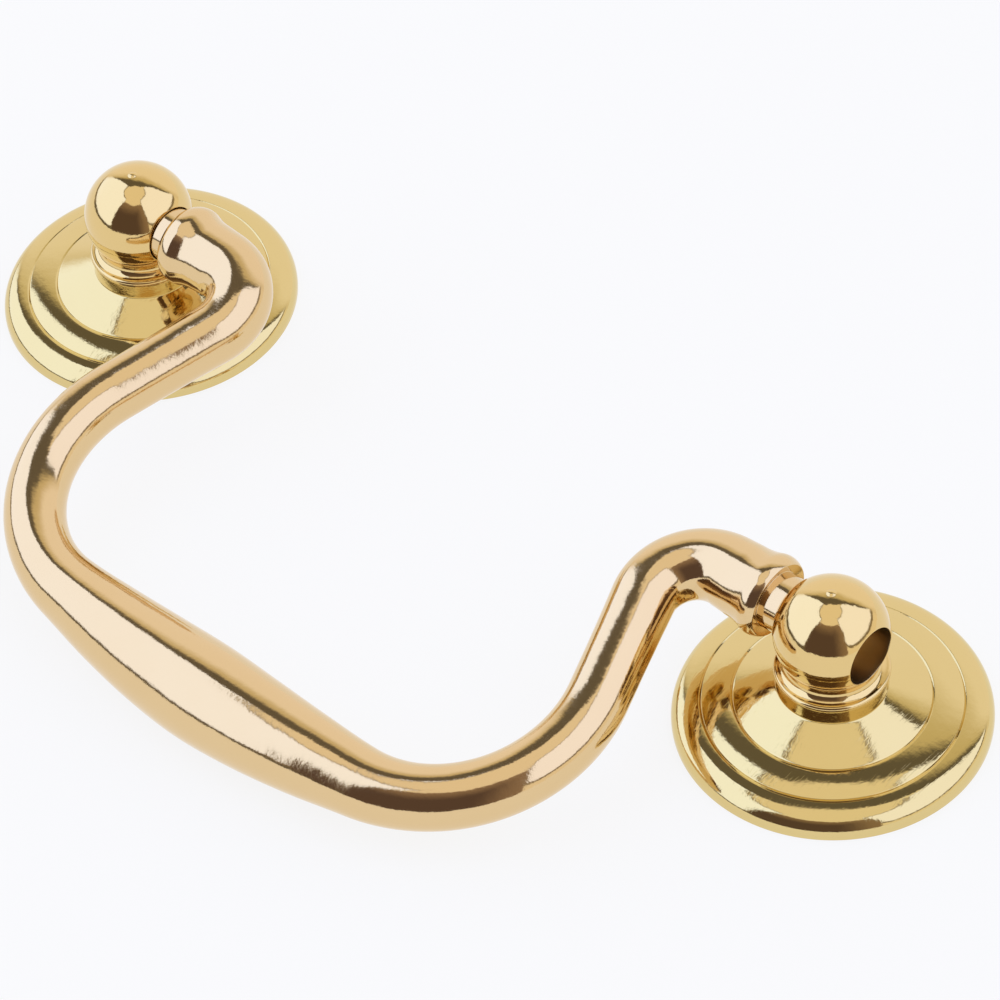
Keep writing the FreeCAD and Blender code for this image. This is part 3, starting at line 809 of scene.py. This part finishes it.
def bail_spine(size, neck_x):
    """Knuckle, neck, lean, shoulder and bowed grip, in tangent lines and arcs, and the radius along them."""
    across = Vector((-math.cos(size.neck_lean), -math.sin(size.neck_lean), 0))
    along = Vector((math.sin(size.neck_lean), -math.cos(size.neck_lean), 0))
    neck_centre = Vector((neck_x, -size.neck_bend, 0))
    bow_centre = Vector((0, size.grip_bow - size.drop, 0))
    offset = neck_centre + across * (size.neck_bend + size.shoulder_bend) - bow_centre
    slope = offset.dot(along)
    inside = (size.grip_bow - size.shoulder_bend) ** 2
    run = -slope + math.sqrt(slope ** 2 - offset.dot(offset) + inside)
    lean_foot = neck_centre + across * size.neck_bend + along * run
    shoulder_centre = lean_foot + across * size.shoulder_bend
    bow_angle = math.atan2(shoulder_centre.x, bow_centre.y - shoulder_centre.y)
    neck_turn = math.pi / 2 + size.neck_lean
    shoulder_turn = math.pi / 2 + size.neck_lean - bow_angle
    neck_length = neck_turn * size.neck_bend
    shoulder_length = shoulder_turn * size.shoulder_bend
    grip_length = bow_angle * size.grip_bow

    neck_start = size.knuckle_length
    lean_start = neck_start + neck_length
    shoulder_start = lean_start + run
    grip_start = shoulder_start + shoulder_length
    radius_at = swell_law((
        (0, size.knuckle_tube),
        (neck_start + neck_length / 2, size.neck_tube),
        (lean_start + run / 2, size.lean_tube),
        (shoulder_start + shoulder_length / 4, size.shoulder_top_tube),
        (shoulder_start + shoulder_length * 3 / 4, size.shoulder_foot_tube),
        (grip_start, size.grip_end_tube),
        (grip_start + grip_length / 3, size.grip_outer_tube),
        (grip_start + grip_length * 2 / 3, size.grip_inner_tube),
        (grip_start + grip_length, size.grip_tube),
    ))
    # Length, centre, turn and number of rings of each stretch
    stretches = (
        (size.knuckle_length, None, 0, 6),
        (neck_length, neck_centre, neck_turn, 36),
        (run, None, 0, 24),
        (shoulder_length, shoulder_centre, -shoulder_turn, 60),
        (grip_length, bow_centre, -bow_angle, 40),
    )
    return stretches, radius_at


def bail_mesh(size, end_face):
    """One half grown from the pin's tip to the middle of the grip, then mirrored and laid down."""
    rod = Rod((size.pin_tip, 0, 0), size.pin_radius - size.pin_chamfer, size.around)
    knuckle_end = grow_bail_end(rod, size, end_face)
    stretches, radius_at = bail_spine(size, knuckle_end - size.knuckle_length)
    gone = 0
    for stretch, centre, turn, steps in stretches:
        for _ in range(steps):
            gone += stretch / steps
            if centre is None:
                rod.straight(stretch / steps, radius_at(gone))
            else:
                rod.bend(centre, turn / steps, radius_at(gone))

    mesh = rod.mesh
    break_edges(mesh, size.edge_break)
    bmesh.ops.mirror(mesh, geom=everything(mesh), axis="X", merge_dist=SLIVER)
    bmesh.ops.recalc_face_normals(mesh, faces=mesh.faces)
    lie = math.asin((SWING_HEIGHT - size.grip_tube - size.lie_gap) / size.drop)
    bmesh.ops.rotate(mesh, verts=mesh.verts, cent=ORIGIN, matrix=Matrix.Rotation(lie, 3, "X"))
    bmesh.ops.translate(mesh, verts=mesh.verts, vec=(0, 0, SWING_HEIGHT))
    return mesh


class BAILPULL_OT_rosettes(bpy.types.Operator):
    """Turn both rosettes"""
    bl_idname = "bail_pull.rosettes"
    bl_label = "Rosettes"

    def execute(self, context):
        pull = context.scene.bail_pull
        material = polished_brass("rosette_brass", pull.rosette_finish)
        for side, sign in SIDES:
            mesh = rosette_mesh(pull.rosette)
            bmesh.ops.translate(mesh, verts=mesh.verts, vec=X_AXIS * sign * BORING / 2)
            piece = to_object(mesh, f"{side}_rosette_turning")
            hand_over(piece, f"{side}_rosette", "fixings", material)
        return {"FINISHED"}


class BAILPULL_OT_posts(bpy.types.Operator):
    """Turn both ball-headed posts"""
    bl_idname = "bail_pull.posts"
    bl_label = "Posts"

    def execute(self, context):
        pull = context.scene.bail_pull
        material = polished_brass("post_brass", pull.post_finish, pull.post.bore_radius)
        shells = [make(pull.post) for make in (ball_mesh, stem_mesh, pip_mesh)]
        cutters = [make(pull.post) for make in (tap_mesh, drill_mesh)]
        turning = joined("post", shells, cutters)
        for side, sign in SIDES:
            data = turning.copy()
            data.transform(Matrix.Translation(X_AXIS * sign * BORING / 2))
            piece = bpy.data.objects.new(f"{side}_post_turning", data)
            context.scene.collection.objects.link(piece)
            hand_over(piece, f"{side}_post", "fixings", material)
        bpy.data.meshes.remove(turning)
        return {"FINISHED"}


class BAILPULL_OT_bail(bpy.types.Operator):
    """Grow the swan-neck bail"""
    bl_idname = "bail_pull.bail"
    bl_label = "Bail"

    def execute(self, context):
        pull = context.scene.bail_pull
        material = polished_brass("bail_brass", pull.bail_finish)
        end_face = BORING / 2 - pull.post.ball_radius - pull.bail.end_gap
        piece = to_object(bail_mesh(pull.bail, end_face), "bail_casting")
        hand_over(piece, "bail", "bail", material)
        return {"FINISHED"}


# Stage

# The tent's parts, one laid over the other; degrees right of straight away from the camera, and up
CARD = ("Left", "Right", "Low", "High", "Corner", "Edge")
TENT = (
    ("side_opening", (157, 239, -2, 62, 6, 2)),
    ("opening", (171, 254, -16, 51, 8, 26)),
    ("seam", (-122.5, -15, -2, 69, 8, 1.5)),
    ("left_panel", (-121, -15, 4.5, 67.5, 7, 1.5)),
    ("arch", (-124, -64, -3.5, 5, 2, 4)),
    ("seam", (50, 157.5, 10, 72, 12, 2)),
    ("right_panel", (50, 155.5, 15, 70.5, 11, 3)),
    ("arch", (-33, 25, 30, 73, 10, 2.5)),
    ("arch", (-33, 72, -12, 74, 48, 2.5)),
    ("wall_top", (-30, 67.5, -40, 60, 36, 7)),
    ("wall", (-29, 66, -40, 48, 34, 16)),
)


@shared
def tent_card(name):
    """Group: one where a direction falls inside a round-cornered card of the tent, in degrees."""
    tree, given, result = new_group(name, ["Azimuth", "Elevation", *CARD], ["Mask"])

    def past_corner(direction, first, last):
        middle = maths(tree, "MULTIPLY", maths(tree, "ADD", given[first], given[last]), 0.5)
        half = maths(tree, "MULTIPLY", maths(tree, "SUBTRACT", given[last], given[first]), 0.5)
        away = maths(tree, "WRAP", maths(tree, "SUBTRACT", direction, middle), 180, -180)
        straight = maths(tree, "SUBTRACT", half, given["Corner"])
        return maths(tree, "SUBTRACT", maths(tree, "ABSOLUTE", away), straight)

    across = past_corner(given["Azimuth"], "Left", "Right")
    up = past_corner(given["Elevation"], "Low", "High")
    squares = [maths(tree, "POWER", maths(tree, "MAXIMUM", side, 0.0), 2.0) for side in (across, up)]
    outside = maths(tree, "SQRT", maths(tree, "ADD", *squares))
    inside = maths(tree, "MINIMUM", maths(tree, "MAXIMUM", across, up), 0.0)
    depth = maths(tree, "SUBTRACT", given["Corner"], maths(tree, "ADD", outside, inside))
    rise = add_node(
        tree, "ShaderNodeMapRange", Value=depth,
        From_Min=maths(tree, "MULTIPLY", given["Edge"], -0.5),
        From_Max=maths(tree, "MULTIPLY", given["Edge"], 0.5))
    rise.interpolation_type = "SMOOTHSTEP"
    feed(tree, result["Mask"], rise.outputs["Result"])


def make_world(studio):
    """White tent with its bright walls, dark arch and opening; plain white where the camera sees it."""
    world = bpy.data.worlds.new("white_tent")
    bpy.context.scene.world = world
    tree = empty_tree(world)
    direction = tree.nodes.new("ShaderNodeTexCoord").outputs["Generated"]
    turn = add_node(
        tree, "ShaderNodeMapping", Vector=direction, Rotation=(0, 0, -studio.camera_azimuth))
    x, y, z = add_node(tree, "ShaderNodeSeparateXYZ", Vector=turn.outputs["Vector"]).outputs
    azimuth = maths(tree, "DEGREES", maths(tree, "ARCTAN2", x, y))
    elevation = maths(tree, "DEGREES", maths(tree, "ARCSINE", z))
    shade = (*studio.roof, 1)
    for part, card in TENT:
        mask = add_node(
            tree, "ShaderNodeGroup", tent_card(), Azimuth=azimuth, Elevation=elevation,
            **dict(zip(CARD, card)))
        shade = mixed(tree, "RGBA", mask.outputs["Mask"], shade, (*getattr(studio, part), 1))
    tent = add_node(tree, "ShaderNodeBackground", Color=shade)
    plain = add_node(tree, "ShaderNodeBackground", Color=WHITE)
    seen = tree.nodes.new("ShaderNodeLightPath").outputs["Is Camera Ray"]
    surface = mixed_shaders(tree, seen, tent.outputs["Background"], plain.outputs["Background"])
    add_node(tree, "ShaderNodeOutputWorld", Surface=surface)


def make_floor(studio):
    """Pale floor that goes to white where it is seen, keeps the shadow and is clear from below."""
    mesh = bmesh.new()
    bmesh.ops.create_grid(mesh, x_segments=1, y_segments=1, size=studio.floor_size / 2)
    floor = to_object(mesh, "floor")
    material = bpy.data.materials.new("pale_floor")
    tree = empty_tree(material)
    path = tree.nodes.new("ShaderNodeLightPath").outputs
    seen = maths(tree, "MAXIMUM", path["Is Camera Ray"], path["Is Glossy Ray"])
    seen = maths(tree, "MAXIMUM", seen, path["Is Transmission Ray"])
    glow = maths(tree, "MULTIPLY", seen, studio.floor_glow)
    matt = add_node(tree, "ShaderNodeBsdfDiffuse", Color=(*studio.floor_shade, 1))
    white = add_node(tree, "ShaderNodeEmission", Color=WHITE, Strength=1.0)
    top = mixed_shaders(tree, glow, matt.outputs["BSDF"], white.outputs["Emission"])
    below = tree.nodes.new("ShaderNodeNewGeometry").outputs["Backfacing"]
    clear = tree.nodes.new("ShaderNodeBsdfTransparent")
    surface = mixed_shaders(tree, below, top, clear.outputs["BSDF"])
    add_node(tree, "ShaderNodeOutputMaterial", Surface=surface)
    floor.data.materials.append(material)


def make_camera(studio):
    """Camera at the photograph's angle."""
    azimuth, elevation = studio.camera_azimuth, studio.camera_elevation
    back = Vector((math.sin(azimuth) * math.cos(elevation),
                   -math.cos(azimuth) * math.cos(elevation), math.sin(elevation)))
    right = Z_AXIS.cross(back).normalized()
    level = Matrix((right, back.cross(right), back)).transposed()
    lens = bpy.data.cameras.new("camera")
    lens.lens = studio.camera_lens
    lens.clip_start = 10 * MM
    camera = bpy.data.objects.new("camera", lens)
    place = Matrix.Translation(Vector(studio.target) + back * studio.camera_distance)
    camera.matrix_world = place @ (level @ Matrix.Rotation(studio.camera_roll, 3, "Z")).to_4x4()
    bpy.context.scene.collection.objects.link(camera)
    bpy.context.scene.camera = camera


class BAILPULL_OT_stage(bpy.types.Operator):
    """Set the pale floor, the white tent and the camera"""
    bl_idname = "bail_pull.stage"
    bl_label = "Stage"

    def execute(self, context):
        studio = context.scene.bail_pull.studio
        make_floor(studio)
        make_world(studio)
        make_camera(studio)
        context.scene.view_settings.view_transform = "Standard"
        return {"FINISHED"}


class VIEW3D_PT_bail_pull(bpy.types.Panel):
    """The bail pull's pieces and settings"""
    bl_label = "Bail Pull"
    bl_space_type = "VIEW_3D"
    bl_region_type = "UI"
    bl_category = "Bail Pull"

    def draw(self, context):
        for operator in OPERATORS:
            self.layout.operator(operator.bl_idname)
        pull = context.scene.bail_pull
        for group in (pull.rosette, pull.post, pull.bail, pull.rosette_finish, pull.post_finish,
                      pull.bail_finish, pull.studio):
            box = self.layout.box()
            for name in group.__annotations__:
                box.prop(group, name)


OPERATORS = (BAILPULL_OT_rosettes, BAILPULL_OT_posts, BAILPULL_OT_bail, BAILPULL_OT_stage)
CLASSES = (RosetteSizes, PostSizes, BailSizes, RosetteFinish, PostFinish, BailFinish, StudioSettings,
           PullSettings, *OPERATORS, VIEW3D_PT_bail_pull)


def register():
    for kind in CLASSES:
        bpy.utils.register_class(kind)
    bpy.types.Scene.bail_pull = PointerProperty(type=PullSettings)


def unregister():
    del bpy.types.Scene.bail_pull
    for kind in reversed(CLASSES):
        bpy.utils.unregister_class(kind)


def main():
    register()
    bpy.ops.bail_pull.rosettes()
    bpy.ops.bail_pull.posts()
    bpy.ops.bail_pull.bail()
    bpy.ops.bail_pull.stage()


if __name__ == "__main__":
    main()
